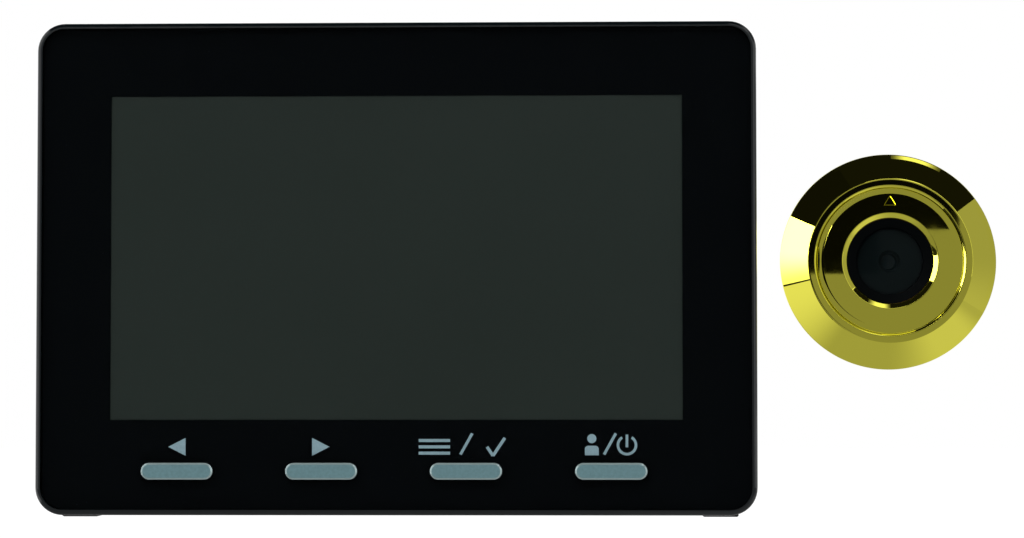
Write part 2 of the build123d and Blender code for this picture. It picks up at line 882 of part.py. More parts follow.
def usb_socket():
    """The charging socket's shell with its tongue, at the right side."""
    low_x = inner_x - usb_length
    low_z = usb_z - usb_width / 2
    high_z = usb_z + usb_width / 2
    back = board_back_y + usb_height
    shell = block((low_x, board_back_y, low_z), (inner_x, back, high_z))
    room_low = (low_x + usb_shell, board_back_y + usb_shell, low_z + usb_shell)
    shell -= block(room_low, (inner_x + overrun, back - usb_shell, high_z - usb_shell))
    middle = board_back_y + usb_height / 2
    tongue_low = (low_x, middle - usb_tongue_thickness / 2, usb_z - usb_tongue_width / 2)
    tongue_high = (inner_x - usb_shell, middle + usb_tongue_thickness / 2, usb_z + usb_tongue_width / 2)
    return shell + block(tongue_low, tongue_high)


def speaker():
    """The chime speaker: a round pot on a wider basket, against the sound holes."""
    step_y = inner_back_y - speaker_step
    basket = rod(speaker_radius, step_y, inner_back_y, speaker_x, speaker_z)
    pot = rod(speaker_radius * speaker_pot_share, inner_back_y - speaker_depth, step_y, speaker_x, speaker_z)
    return basket + pot


# Screws and feet
def housing_screw(x, z):
    """A cross-head screw that joins the rear shell to the front one."""
    seat = screw_seat_y
    screw = rod(screw_head_radius, seat, seat + screw_head, x, z)
    screw += rod(screw_radius, split_y - screw_bite, seat, x, z)
    for outline in (Rectangle(cross_length, cross_width), Rectangle(cross_width, cross_length)):
        screw -= slab(outline, seat + screw_head + overrun, cross_depth + overrun, x, z)
    return screw


def foot(x):
    """A low rubber foot under the bottom edge."""
    pad = foot_block(x)
    return chamfer(pad.faces().sort_by(Axis.Z)[0].edges(), foot_edge)


# Door bracket
def door_bracket():
    """The plate on the door, with four upturned hooks that carry the monitor."""
    plate = slab(
        RectangleRounded(bracket_width, bracket_height, bracket_corner), 0, bracket_thickness
    )
    plate -= rod(tube_hole_radius, -bracket_thickness - overrun, overrun)
    lip_back = inner_back_y - hook_reach_gap
    lip_front = lip_back - hook_lip
    for x, top in hook_places:
        low_x = x - hook_width / 2
        high_x = x + hook_width / 2
        plate += block(
            (low_x, lip_front, top - hook_neck), (high_x, -bracket_thickness / 2, top)
        )
        plate += block((low_x, lip_front, top - hook_neck), (high_x, lip_back, top + hook_lip_height))
        plate -= block(
            (low_x, -bracket_thickness - overrun, top), (high_x, overrun, top + hook_lip_height)
        )
    for sx in (-1, 1):
        for sz in (-1, 1):
            x = sx * bracket_screw_pitch_x / 2
            z = sz * bracket_screw_pitch_z / 2
            plate -= rod(bracket_screw_radius, -bracket_thickness - overrun, overrun, x, z)
            sink = Pos(x, -bracket_thickness + countersink_depth / 2, z) * Rot(90, 0, 0) * Cone(
                bracket_screw_radius, countersink_radius, countersink_depth
            )
            plate -= sink
    return plate


# Camera unit
def camera_gasket():
    """The soft ring between the gold flange and the door."""
    return camera_tube(gasket_radius, barrel_radius + cell_play, seat_y, 0)


def camera_flange():
    """The gold cone that covers the hole in the door, with a seat for the face ring."""
    collar_y = shelf_y + barrel_collar
    profile = [
        (barrel_radius + cell_play, seat_y),
        (flange_radius, seat_y),
        (flange_radius, seat_y - flange_edge),
        (cone_front_radius, gold_front_y + cone_round),
        (cone_front_radius - cone_round, gold_front_y),
        (land_radius - land_bevel, gold_front_y),
        (ring_radius + drop_in_play, gold_front_y + land_bevel),
        (ring_radius + drop_in_play, shelf_y),
        (barrel_collar_radius + drop_in_play, shelf_y),
        (barrel_collar_radius + drop_in_play, collar_y),
        (barrel_radius + cell_play, collar_y),
    ]
    return turned(profile)


def up_mark():
    """The small triangle cut in the face ring to show which way is up."""
    high = up_mark_radius + up_mark_height / 2
    low = up_mark_radius - up_mark_height / 2
    face = make_face(
        Polyline((0, high), (up_mark_width / 2, low), (-up_mark_width / 2, low), close=True)
    )
    return slab(face, ring_front_y + up_mark_depth, up_mark_depth + overrun, camera_x, camera_z)


def face_ring():
    """The flat mirror ring round the window, with a rounded outer edge and inner bead."""
    middle = (bead_outer_radius + bead_inner_radius) / 2
    bead_y = ring_front_y - bead_height
    fall = ring_round * (1 - math.sqrt(2) / 2)
    outline = [
        Line((bead_inner_radius, shelf_y), (ring_radius, shelf_y)),
        Line((ring_radius, shelf_y), (ring_radius, ring_front_y + ring_round)),
        ThreePointArc(
            (ring_radius, ring_front_y + ring_round),
            (ring_radius - fall, ring_front_y + fall),
            (ring_radius - ring_round, ring_front_y),
        ),
        Line((ring_radius - ring_round, ring_front_y), (bead_outer_radius, ring_front_y)),
        ThreePointArc(
            (bead_outer_radius, ring_front_y), (middle, bead_y), (bead_inner_radius, ring_front_y)
        ),
        Line((bead_inner_radius, ring_front_y), (bead_inner_radius, shelf_y)),
    ]
    ring = Pos(camera_x, 0, camera_z) * revolve(make_face(outline), Axis.Y)
    return ring - up_mark()


def window_bezel():
    """The black ring between the gold bead and the window."""
    profile = [
        (window_radius + drop_in_play, shelf_y),
        (bezel_radius, shelf_y),
        (bezel_radius, window_front_y - bezel_slope),
        (window_radius + drop_in_play, window_front_y),
    ]
    return turned(profile)


def lens_window():
    """The clear disc over the lens."""
    return camera_rod(window_radius, window_front_y, shelf_y)


def lens_hood():
    """The black disc behind the window, open only at the pupil."""
    hood = camera_rod(barrel_bore - drop_in_play, shelf_y, hood_back_y)
    sink = turned(
        [
            (0, shelf_y - drop_in_play),
            (pupil_radius + hood_thickness / 2, shelf_y - drop_in_play),
            (pupil_radius, hood_back_y - hood_thickness / 2),
            (pupil_radius, hood_back_y + drop_in_play),
            (0, hood_back_y + drop_in_play),
        ]
    )
    return hood - sink


def dome_lens(front, rim, dome, facing):
    """A round lens with one domed face, turned about the camera's axis."""
    flat_y = front if facing < 0 else front + rim
    other_y = front + rim if facing < 0 else front
    tip_y = flat_y + facing * dome
    sagitta_radius = (lens_radius**2 + dome**2) / (2 * dome)
    half = lens_radius / 2
    mid_y = tip_y - facing * (sagitta_radius - math.sqrt(sagitta_radius**2 - half**2))
    outline = [
        ThreePointArc((0, tip_y), (half, mid_y), (lens_radius, flat_y)),
        Line((lens_radius, flat_y), (lens_radius, other_y)),
        Line((lens_radius, other_y), (0, other_y)),
        Line((0, other_y), (0, tip_y)),
    ]
    return Pos(camera_x, 0, camera_z) * revolve(make_face(outline), Axis.Y)


def lens_barrel():
    """The small tube that holds the lenses, with a lip in front."""
    body = camera_rod(lens_radius + drop_in_play + lens_wall, hood_back_y, lens_back_y)
    body -= camera_rod(pupil_radius, hood_back_y - overrun, hood_back_y + overrun)
    return body - camera_rod(lens_radius + drop_in_play, hood_back_y + lens_lip, lens_back_y + overrun)


def lens_spacer():
    """The thin ring between the two lenses."""
    return camera_tube(lens_radius, lens_radius - spacer_wall, spacer_front_y, rear_lens_y)


def lens_mount():
    """The sleeve that carries the lens tube over the sensor board."""
    bore = lens_radius + lens_wall + 2 * drop_in_play
    return camera_tube(barrel_bore - drop_in_play, bore, mount_front_y, mount_back_y)


def sensor_board():
    """The round board behind the lens mount."""
    radius = barrel_bore - drop_in_play
    return camera_rod(radius, mount_back_y, mount_back_y + sensor_board_thickness)


def image_sensor():
    """The sensor chip on its board."""
    outline = Rectangle(sensor_size, sensor_size)
    return slab(outline, mount_back_y, sensor_thickness, camera_x, camera_z)


def light_filter():
    """The thin filter glass at the rear end of the lens tube."""
    return camera_rod(lens_radius, lens_back_y - filter_thickness, lens_back_y)


def tail_socket():
    """The small ribbon socket on the sensor board's rear face."""
    back = mount_back_y + sensor_board_thickness + tail_socket_depth
    socket = slab(
        Rectangle(tail_socket_width, tail_socket_height), back, tail_socket_depth, camera_x, camera_z
    )
    slot = Rectangle(tail_socket_width - tail_socket_height / 2, tail_socket_height * tail_slot_share)
    return socket - slab(slot, back + overrun, tail_socket_depth / 2 + overrun, camera_x, camera_z)


def camera_barrel():
    """The tube through the door: a collar, a plain stretch, a grooved thread and a plain lead."""
    profile = [
        (barrel_bore, shelf_y),
        (barrel_collar_radius, shelf_y),
        (barrel_collar_radius, shelf_y + barrel_collar),
        (barrel_radius - barrel_neck_relief, shelf_y + barrel_collar),
        (barrel_radius - barrel_neck_relief, 0),
        (barrel_radius, 0),
        (barrel_radius, barrel_plain),
        (thread_radius - thread_depth, barrel_plain),
    ]
    for turn in range(thread_turns):
        start = barrel_plain + turn * thread_pitch
        profile.append((thread_radius, start + thread_pitch * thread_rise_share))
        profile.append((thread_radius, start + thread_pitch * thread_fall_share))
        profile.append((thread_radius - thread_depth, start + thread_pitch))
    profile.append((thread_radius - thread_depth, barrel_end_y))
    profile.append((barrel_bore, barrel_end_y))
    return turned(profile)


def clamp_washer():
    """The flat washer that bears on the inside of the door."""
    return camera_tube(washer_radius, thread_radius + cell_play, washer_front_y, nut_front_y)


def clamp_nut():
    """The six-sided nut on the barrel's thread."""
    corner_radius = (barrel_radius + nut_wall) / math.cos(math.pi / nut_sides)
    nut = slab(RegularPolygon(corner_radius, nut_sides), nut_back_y, nut_length, camera_x, camera_z)
    bevelled = turned(
        [
            (0, nut_front_y),
            (corner_radius - nut_bevel, nut_front_y),
            (corner_radius, nut_front_y + nut_bevel),
            (corner_radius, nut_back_y - nut_bevel),
            (corner_radius - nut_bevel, nut_back_y),
            (0, nut_back_y),
        ]
    )
    bore = camera_rod(thread_radius + fit_play, nut_front_y - overrun, nut_back_y + overrun)
    return (nut & bevelled) - bore


# The whole object, piece by piece
def save_monitor():
    """Every piece of the monitor."""
    form = body_form()
    inlays = marks()
    save(front_housing(form), "front_housing")
    save(rear_housing(form), "rear_housing")
    save(battery_door(form), "battery_door")
    save(front_panel(), "front_panel")
    save(panel_mask(inlays), "panel_mask")
    save(group(inlays), "printed_marks")
    save(lcd_glass(), "lcd_glass")
    save(light_guide(), "light_guide")
    save(lcd_frame(), "lcd_frame")
    for name, x in zip(button_names, button_xs):
        save(button_cap(x), name + "_button")
        save(plunger(x), name + "_plunger")
    save(group(key_switch(x) for x in button_xs), "key_switches")
    save(key_board(), "key_board")
    save(main_board(), "main_board")
    save(group(board_screw(x, z) for x, z in board_post_places), "board_screws")
    save(chip(chip_size, chip_size, chip_x, chip_z), "processor_chip")
    save(chip(memory_chip_width, chip_size, -chip_x, chip_z), "memory_chip")
    save(ribbon_socket(), "ribbon_socket")
    save(card_socket(), "card_socket")
    save(memory_card(), "memory_card")
    save(usb_socket(), "usb_socket")
    save(speaker(), "speaker")
    for index, (x, z, facing) in enumerate(cell_places(), start=1):
        save(battery_cell(x, z, facing), "battery_cell_" + str(index))
    contact_rows = sorted({z for x, z, facing in cell_places()})
    contacts = [battery_contact(side, z) for side in (-1, 1) for z in contact_rows]
    save(group(contacts), "battery_contacts")
    save(group(housing_screw(x, z) for x, z in screw_places), "housing_screws")
    save(group(foot(side * foot_x) for side in (-1, 1)), "rubber_feet")


def save_camera():
    """Every piece of the camera unit."""
    save(camera_flange(), "camera_flange")
    save(face_ring(), "face_ring")
    save(window_bezel(), "window_bezel")
    save(lens_window(), "lens_window")
    save(lens_hood(), "lens_hood")
    save(lens_barrel(), "lens_barrel")
    save(dome_lens(front_lens_y, front_lens_rim, front_lens_dome, -1), "front_lens")
    save(lens_spacer(), "lens_spacer")
    save(dome_lens(rear_lens_y, rear_lens_rim, rear_lens_dome, 1), "rear_lens")
    save(light_filter(), "light_filter")
    save(lens_mount(), "lens_mount")
    save(image_sensor(), "image_sensor")
    save(sensor_board(), "sensor_board")
    save(tail_socket(), "tail_socket")
    save(camera_barrel(), "camera_barrel")
    save(camera_gasket(), "camera_gasket")
    save(clamp_washer(), "clamp_washer")
    save(clamp_nut(), "clamp_nut")


save(door_bracket(), "door_bracket")
save_monitor()
save_camera()
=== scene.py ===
import math

import bmesh
import bpy
from bpy.props import FloatProperty, FloatVectorProperty, IntProperty, PointerProperty
from mathutils import Matrix, Vector


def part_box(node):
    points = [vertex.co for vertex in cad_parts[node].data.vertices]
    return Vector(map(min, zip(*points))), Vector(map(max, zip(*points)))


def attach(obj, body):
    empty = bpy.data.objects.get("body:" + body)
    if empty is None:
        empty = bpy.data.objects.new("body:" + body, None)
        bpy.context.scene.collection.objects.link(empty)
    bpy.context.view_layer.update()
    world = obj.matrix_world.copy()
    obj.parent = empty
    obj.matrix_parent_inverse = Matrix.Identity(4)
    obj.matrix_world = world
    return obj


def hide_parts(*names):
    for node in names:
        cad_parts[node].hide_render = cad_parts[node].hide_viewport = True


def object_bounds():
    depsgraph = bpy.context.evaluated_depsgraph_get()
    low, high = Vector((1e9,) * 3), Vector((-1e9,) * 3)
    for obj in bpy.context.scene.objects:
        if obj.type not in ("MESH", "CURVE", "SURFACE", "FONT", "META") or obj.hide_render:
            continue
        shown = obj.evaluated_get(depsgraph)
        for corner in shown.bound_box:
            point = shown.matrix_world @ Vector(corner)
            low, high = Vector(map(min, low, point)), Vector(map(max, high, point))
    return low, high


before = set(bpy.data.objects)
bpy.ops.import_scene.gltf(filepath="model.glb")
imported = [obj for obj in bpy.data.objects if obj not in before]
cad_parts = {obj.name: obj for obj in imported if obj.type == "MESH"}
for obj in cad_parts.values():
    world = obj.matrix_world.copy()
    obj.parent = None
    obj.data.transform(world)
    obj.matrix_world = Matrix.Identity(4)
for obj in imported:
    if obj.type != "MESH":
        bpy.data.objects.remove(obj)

bl_info = {
    "name": "Peephole door camera",
    "version": (1, 0, 0),
    "blender": (4, 5, 0),
    "location": "3D View > Sidebar > Door viewer",
    "description": "Dresses the door viewer's monitor and gold camera unit, and sets the studio",
    "category": "Object",
}

CAD_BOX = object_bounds()
MM = 0.001
WHITE, BLACK = (1, 1, 1, 1), (0, 0, 0, 1)
BUTTONS = ("left_button", "right_button", "menu_button", "power_button")

# Meshes: steps in a rounding and in a quarter turn, the width of the narrow band that keeps a
# rounding's shading off the flat beside it, the least angle of a sharp edge, and the distance
# within which points are one
ROUND_STEPS = 6
CORNER_STEPS = 12
SUPPORT = 0.03 * MM
SHARP_ANGLE = math.radians(28)
SAME_PLACE = MM / 1000

# Patterns: the band of a cloudy pattern that most of it lies in, the radians that a banded one
# counts for each unit, and a speck's reach, rarity and lightness
MIDDLE_BAND = {"From Min": 0.3, "From Max": 0.7}
WAVE_RADIANS = 20
SPECK_REACH = 0.045
SPECK_RARITY = 0.6
SPECK_LIGHT = 7
FACE_SKIN = 0.02 * MM  # what lies this near a button's front is its satin face


# Colours, places and nodes
def linear(code):
    """An sRGB hex colour as linear red, green and blue."""
    shares = [int(code[at:at + 2], 16) / 255 for at in (1, 3, 5)]
    return [v / 12.92 if v <= 0.04045 else ((v + 0.055) / 1.055) ** 2.4 for v in shares]


def per_size(size):
    """A pattern's scale for one feature of the given size in millimetres."""
    return 1 / (size * MM)


def add(tree, kind, sockets=(), **settings):
    """Adds one node with its settings, and fills its sockets with values or links."""
    node = tree.nodes.new("ShaderNode" + kind)
    for key, value in settings.items():
        setattr(node, key, value)
    for key, value in dict(sockets).items():
        if isinstance(value, bpy.types.NodeSocket):
            tree.links.new(value, node.inputs[key])
        else:
            node.inputs[key].default_value = value
    return node


def start_material(name):
    """An empty node material and its tree, with the object's own coordinates."""
    material = bpy.data.materials.new(name)
    material.use_nodes = True
    tree = material.node_tree
    tree.nodes.clear()
    place = add(tree, "TexCoord").outputs["Object"]
    return material, tree, place


def end_material(material, tree, shader):
    """Joins the last shader to the material's output."""
    add(tree, "OutputMaterial", {"Surface": shader.outputs[0]})
    return material


def shade(colour, share):
    """A colour made darker or lighter by a share of itself."""
    return [min(1, value * share) for value in colour]


def surface(tree, colour, others, tones=None, rough=None, relief=None):
    """A surface of one colour, with its other values, that follows up to three patterns.

    tones is a pattern and the two shares of the colour that it goes between, rough a pattern
    and the two roughnesses, and relief a pattern and its depth in millimetres.
    """
    sockets = {"Base Color": (*colour, 1), **others}
    if tones:
        pattern, dark, light = tones
        share = add(tree, "MapRange", {"Value": pattern, **MIDDLE_BAND}).outputs[0]
        ends = {0: share, 6: (*shade(colour, dark), 1), 7: (*shade(colour, light), 1)}
        sockets["Base Color"] = add(tree, "Mix", ends, data_type="RGBA").outputs[2]
    if rough:
        pattern, low, high = rough
        band = {"Value": pattern, **MIDDLE_BAND, "To Min": low, "To Max": high}
        sockets["Roughness"] = add(tree, "MapRange", band).outputs[0]
    if relief:
        pattern, depth = relief
        bump = {"Height": pattern, "Strength": 1.0, "Distance": depth * MM}
        sockets["Normal"] = add(tree, "Bump", bump).outputs[0]
    return add(tree, "BsdfPrincipled", sockets)


def clear_piece(name, ior, through, gloss, rough):
    """A clear piece that light goes straight through, with a gloss on its outer side alone.

    through is the share of light that it lets pass, gloss the tint of its reflections, and
    rough their roughness where it is cleanest and where it is most smeared.
    """
    material, tree, place = start_material(name)
    fresnel = add(tree, "Fresnel", {"IOR": ior}).outputs[0]
    inner = add(tree, "NewGeometry").outputs["Backfacing"]
    outer = add(tree, "Math", {0: 1.0, 1: inner}, operation="SUBTRACT").outputs[0]
    share = add(tree, "Math", {0: fresnel, 1: outer}, operation="MULTIPLY").outputs[0]
    smear = add(tree, "TexNoise", {"Vector": place, "Scale": per_size(9), "Detail": 3}).outputs[0]
    band = {"Value": smear, **MIDDLE_BAND, "To Min": rough[0], "To Max": rough[1]}
    haze = add(tree, "MapRange", band).outputs[0]
    clear = add(tree, "BsdfTransparent", {"Color": (*through, 1)})
    shine = add(tree, "BsdfAnisotropic", {"Color": (*gloss, 1), "Roughness": haze})
    both = add(tree, "MixShader", {0: share, 1: clear.outputs[0], 2: shine.outputs[0]})
    return end_material(material, tree, both)


def dress(material, *nodes):
    """Puts a material on carried-over nodes."""
    for name in nodes:
        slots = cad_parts[name].data.materials
        slots.clear()
        slots.append(material)


# Sizes and colours that a user would change
def colour(name, description, code):
    """A colour that a user can change."""
    return FloatVectorProperty(
        name=name, description=description, default=linear(code),
        size=3, subtype="COLOR", min=0, max=1,
    )


def length(name, description, size):
    """A length that a user can change, given in millimetres."""
    return FloatProperty(
        name=name, description=description, default=size * MM,
        min=0, subtype="DISTANCE", unit="LENGTH",
    )


class MonitorLooks(bpy.types.PropertyGroup):
    print_colour: colour("Black print", "Screen print behind the clear front", "#080a0c")
    mark_colour: colour("Marks", "Printed marks above the buttons", "#8ea5b0")
    screen_colour: colour("Screen", "Unlit screen behind the clear front", "#2a302d")
    housing_colour: colour("Housing", "Moulded black housing", "#060d10")
    button_colour: colour("Button face", "Satin face of the pill buttons", "#61848a")
    rim_colour: colour("Button rim", "Polished rim of the pill buttons", "#b9cfd0")
    front_corner: length("Front corner", "Corner radius of the clear front", 3.6)
    front_edge: length("Front edge", "Bevel round the clear front", 0.15)
    front_gap: length("Front gap", "Air between the clear front and its print", 0.05)
    button_flange: length("Button flange", "How far a button is wider behind the front", 0.6)
    button_play: length("Button play", "Gap round a button in the clear front", 0.15)
    grain: length("Housing grain", "Grain size of the textured back", 0.35)
    speck: length("Dust spacing", "Spacing of the specks on the front", 2.2)
    button_face: length("Button face depth", "How deep the plated part of a button reaches", 1.2)


class CameraLooks(bpy.types.PropertyGroup):
    gold_colour: colour("Gold", "Polished gold plating", "#f0ea58")
    brass_colour: colour("Brass", "Turned brass of the barrel and nut", "#c9a24e")
    hood_colour: colour("Hood", "Black disc behind the window", "#090f10")
    flange_radius: length("Flange radius", "Outer radius of the gold cone", 18.5)
    flange_bore: length("Flange bore", "Radius of the hole round the barrel", 7.3)
    flange_edge: length("Flange edge", "Upright edge at the door", 0.6)
    flare_width: length("Flare width", "Width of the cone's flatter outer edge", 0.9)
    flare_rise: length("Flare rise", "Rise of the cone's flatter outer edge", 0.65)
    cone_front: length("Cone front", "Radius where the cone meets its flat front", 14.0)
    land_inner: length("Land", "Inner radius of the cone's flat front", 12.85)
    land_bevel: length("Land bevel", "Bevel on the cone's inner front edge", 0.3)
    seat_radius: length("Ring seat", "Radius of the seat for the mirror ring", 12.55)
    seat_depth: length("Seat depth", "Depth of the seat from the door side", 2.6)
    collar_radius: length("Collar seat", "Radius of the seat for the barrel's collar", 9.6)
    collar_depth: length("Collar depth", "Depth of the collar's seat", 0.8)
    ring_radius: length("Ring radius", "Outer radius of the mirror ring", 12.45)
    ring_slope: length("Ring slope", "Width of the sloping outer edge", 0.85)
    ring_fall: length("Ring fall", "Fall of the sloping outer edge", 0.3)
    ring_rise: length("Ring rise", "How far the packed ring's bead stands out", 0.35)
    lip_outer: length("Lip", "Outer radius of the sloping lip round the window", 8.15)
    lip_inner: length("Lip bore", "Inner radius of the sloping lip round the window", 7.35)
    lip_fall: length("Lip fall", "Fall of the sloping lip", 0.55)
    mark_place: length("Mark place", "Distance of the upright mark from the centre", 10.3)
    mark_width: length("Mark width", "Width of the upright mark", 1.9)
    mark_height: length("Mark height", "Height of the upright mark", 1.5)
    mark_depth: length("Mark depth", "Depth of the upright mark", 0.15)
    mark_draft: length("Mark draft", "Lean of the upright mark's walls", 0.12)
    edge_round: length("Edge rounding", "Rounding of the gold edges", 0.2)
    window_gap: length("Window gap", "Air between the window and the disc behind it", 0.05)
    window_fit: length("Window fit", "How far the window reaches towards its bezel", 0.08)
    window_border: length("Window border", "Black printed border on the window's back", 0.4)
    steps: IntProperty(
        name="Steps", description="Flats round each turned ring", default=240, min=48, max=720)


class FittingLooks(bpy.types.PropertyGroup):
    steel_colour: colour("Steel", "Plated sheet, screws and washer", "#b9b8b2")
    board_colour: colour("Board", "Solder mask of the boards", "#1c6a3a")
    rubber_colour: colour("Rubber", "Feet and door seal", "#1b1c1d")
    cell_colour: colour("Cell sleeve", "Sleeve of the small round cells", "#3b4248")


class StageLooks(bpy.types.PropertyGroup):
    floor_drop: length("Floor drop", "Height of the object above the floor", 38)
    sky: FloatProperty(
        name="Studio light", description="Strength of the even light from all round",
        default=0.78, min=0, max=5)
    key: FloatProperty(
        name="Key lamp", description="Power of the soft lamp above the front",
        default=2.6, min=0, max=50, subtype="POWER", unit="POWER")


# Moulded, printed and clear plastics
def clear_acrylic():
    """Cast acrylic sheet, polished: clear, with a thin gloss that grows towards grazing."""
    name, through = "polished_clear_acrylic", (0.97, 0.985, 0.98)
    return clear_piece(name, 1.49, through, (1, 1, 1), (0.015, 0.05))


def black_print(looks):
    """Screen print on the acrylic's back: an even black with sparse dust specks in it."""
    material, tree, place = start_material("screen_printed_black")
    cells = add(tree, "TexVoronoi", {"Vector": place, "Scale": 1 / looks.speck, "Randomness": 1})
    near = add(tree, "Math", {0: cells.outputs["Distance"], 1: SPECK_REACH}, operation="LESS_THAN")
    pick = add(tree, "SeparateColor", {"Color": cells.outputs["Color"]}).outputs[0]
    few = add(tree, "Math", {0: pick, 1: SPECK_RARITY}, operation="GREATER_THAN")
    both = {0: near.outputs[0], 1: few.outputs[0]}
    speck = add(tree, "Math", both, operation="MULTIPLY").outputs[0]
    others = {"Roughness": 0.6, "Specular IOR Level": 0.0}
    shader = surface(tree, looks.print_colour, others, tones=(speck, 1, SPECK_LIGHT))
    return end_material(material, tree, shader)


def mark_print(looks):
    """Light grey ink under the acrylic, with the faint mottle of screen ink."""
    material, tree, place = start_material("screen_printed_grey")
    ink = add(tree, "TexNoise", {"Vector": place, "Scale": per_size(0.5), "Detail": 2}).outputs[0]
    others = {"Roughness": 0.55, "Specular IOR Level": 0.05}
    shader = surface(tree, looks.mark_colour, others, tones=(ink, 0.94, 1.05))
    return end_material(material, tree, shader)


def screen_glass(looks):
    """Unlit liquid crystal glass: an even dark grey-green, with pixel rows too fine to show."""
    material, tree, place = start_material("unlit_liquid_crystal_glass")
    cloud = add(tree, "TexNoise", {"Vector": place, "Scale": per_size(30), "Detail": 2}).outputs[0]
    others = {"Roughness": 0.35, "Specular IOR Level": 0.05}
    shader = surface(tree, looks.screen_colour, others, tones=(cloud, 0.97, 1.03))
    return end_material(material, tree, shader)


def gloss_abs(looks):
    """Moulded ABS from a polished tool: a deep gloss with a faint ripple and fine wiping marks."""
    material, tree, place = start_material("polished_moulded_abs")
    ripple = add(tree, "TexNoise", {"Vector": place, "Scale": per_size(6), "Detail": 2}).outputs[0]
    wipe = add(tree, "TexNoise", {"Vector": place, "Scale": per_size(1.5), "Detail": 4}).outputs[0]
    shader = surface(
        tree, looks.housing_colour, {"IOR": 1.53}, rough=(wipe, 0.1, 0.2), relief=(ripple, 0.006)
    )
    return end_material(material, tree, shader)


def textured_abs(name, looks):
    """Moulded ABS from a spark-eroded tool: a dull black with a fine, even grain."""
    material, tree, place = start_material(name)
    fine = {"Vector": place, "Scale": 1 / looks.grain, "Detail": 3}
    pits = add(tree, "TexNoise", fine).outputs[0]
    cloud = add(tree, "TexNoise", {"Vector": place, "Scale": per_size(14), "Detail": 2}).outputs[0]
    shader = surface(
        tree, looks.housing_colour, {"IOR": 1.53},
        tones=(cloud, 1.3, 1.9), rough=(pits, 0.42, 0.6), relief=(pits, 0.03),
    )
    return end_material(material, tree, shader)


def moulded_plastic(name, colour, rough, gloss=0.5):
    """Small moulded part: plain, half dull, with a slight unevenness."""
    material, tree, place = start_material(name)
    grain = add(tree, "TexNoise", {"Vector": place, "Scale": per_size(0.8), "Detail": 3}).outputs[0]
    others = {"IOR": 1.5, "Specular IOR Level": gloss}
    band = (grain, rough, rough + 0.12)
    shader = surface(tree, colour, others, tones=(grain, 0.92, 1.06), rough=band)
    return end_material(material, tree, shader)


def rubber(colour):
    """Moulded rubber: matt, with a fine bloom."""
    material, tree, place = start_material("moulded_rubber")
    bloom = add(tree, "TexNoise", {"Vector": place, "Scale": per_size(0.3), "Detail": 4}).outputs[0]
    others = {"Roughness": 0.85, "IOR": 1.52}
    shader = surface(tree, colour, others, tones=(bloom, 0.85, 1.35), relief=(bloom, 0.02))
    return end_material(material, tree, shader)


# Metals
def button_metal(looks):
    """Satin plated pill button: a fine blasted face in a polished rim, on a black carrier."""
    material, tree, place = start_material("satin_and_polished_nickel")
    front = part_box("left_button")[0][1]
    depth = add(tree, "SeparateXYZ", {"Vector": place}).outputs["Y"]
    face = add(tree, "Math", {0: depth, 1: front + FACE_SKIN}, operation="LESS_THAN").outputs[0]
    blast = add(tree, "TexNoise", {"Vector": place, "Scale": per_size(0.5), "Detail": 4}).outputs[0]
    others = {"Metallic": 0.15, "Roughness": 0.5}
    satin = surface(
        tree, looks.button_colour, others, tones=(blast, 0.9, 1.08), relief=(blast, 0.004)
    )
    polish = surface(tree, looks.rim_colour, {"Metallic": 0.6, "Roughness": 0.25})
    plated = add(tree, "MixShader", {0: face, 1: polish.outputs[0], 2: satin.outputs[0]})
    behind = {0: depth, 1: front + looks.button_face}
    deep = add(tree, "Math", behind, operation="GREATER_THAN").outputs[0]
    others = {"Roughness": 0.5, "Specular IOR Level": 0.1}
    carrier = surface(tree, looks.housing_colour, others)
    whole = add(tree, "MixShader", {0: deep, 1: plated.outputs[0], 2: carrier.outputs[0]})
    return end_material(material, tree, whole)


def gold_plate(looks):
    """Gold plating over polished brass: a clean mirror with faint buffing haze."""
    material, tree, place = start_material("polished_gold_plate")
    haze = add(tree, "TexNoise", {"Vector": place, "Scale": per_size(3), "Detail": 4}).outputs[0]
    shader = surface(tree, looks.gold_colour, {"Metallic": 1.0}, rough=(haze, 0.012, 0.03))
    return end_material(material, tree, shader)


def turned_brass(looks):
    """Turned brass: rings from the lathe round its axis, drawn as coarse as they need to show."""
    material, tree, place = start_material("turned_brass")
    rings = add(
        tree, "TexWave",
        {"Vector": place, "Scale": per_size(0.35) / WAVE_RADIANS, "Distortion": 0.6},
        wave_type="BANDS", bands_direction="Y",
    ).outputs["Fac"]
    cloud = add(tree, "TexNoise", {"Vector": place, "Scale": per_size(2), "Detail": 3}).outputs[0]
    shader = surface(
        tree, looks.brass_colour, {"Metallic": 1.0},
        tones=(cloud, 0.85, 1), rough=(rings, 0.22, 0.34), relief=(rings, 0.004),
    )
    return end_material(material, tree, shader)


def plated_steel(colour):
    """Rolled and plated steel: a soft directional sheen with small clouding."""
    material, tree, place = start_material("plated_rolled_steel")
    along = add(tree, "Mapping", {"Vector": place, "Scale": (1, 8, 8)}).outputs[0]
    roll = add(tree, "TexNoise", {"Vector": along, "Scale": per_size(1.6), "Detail": 4}).outputs[0]
    shader = surface(
        tree, colour, {"Metallic": 1.0}, tones=(roll, 0.82, 1), rough=(roll, 0.22, 0.4)
    )
    return end_material(material, tree, shader)


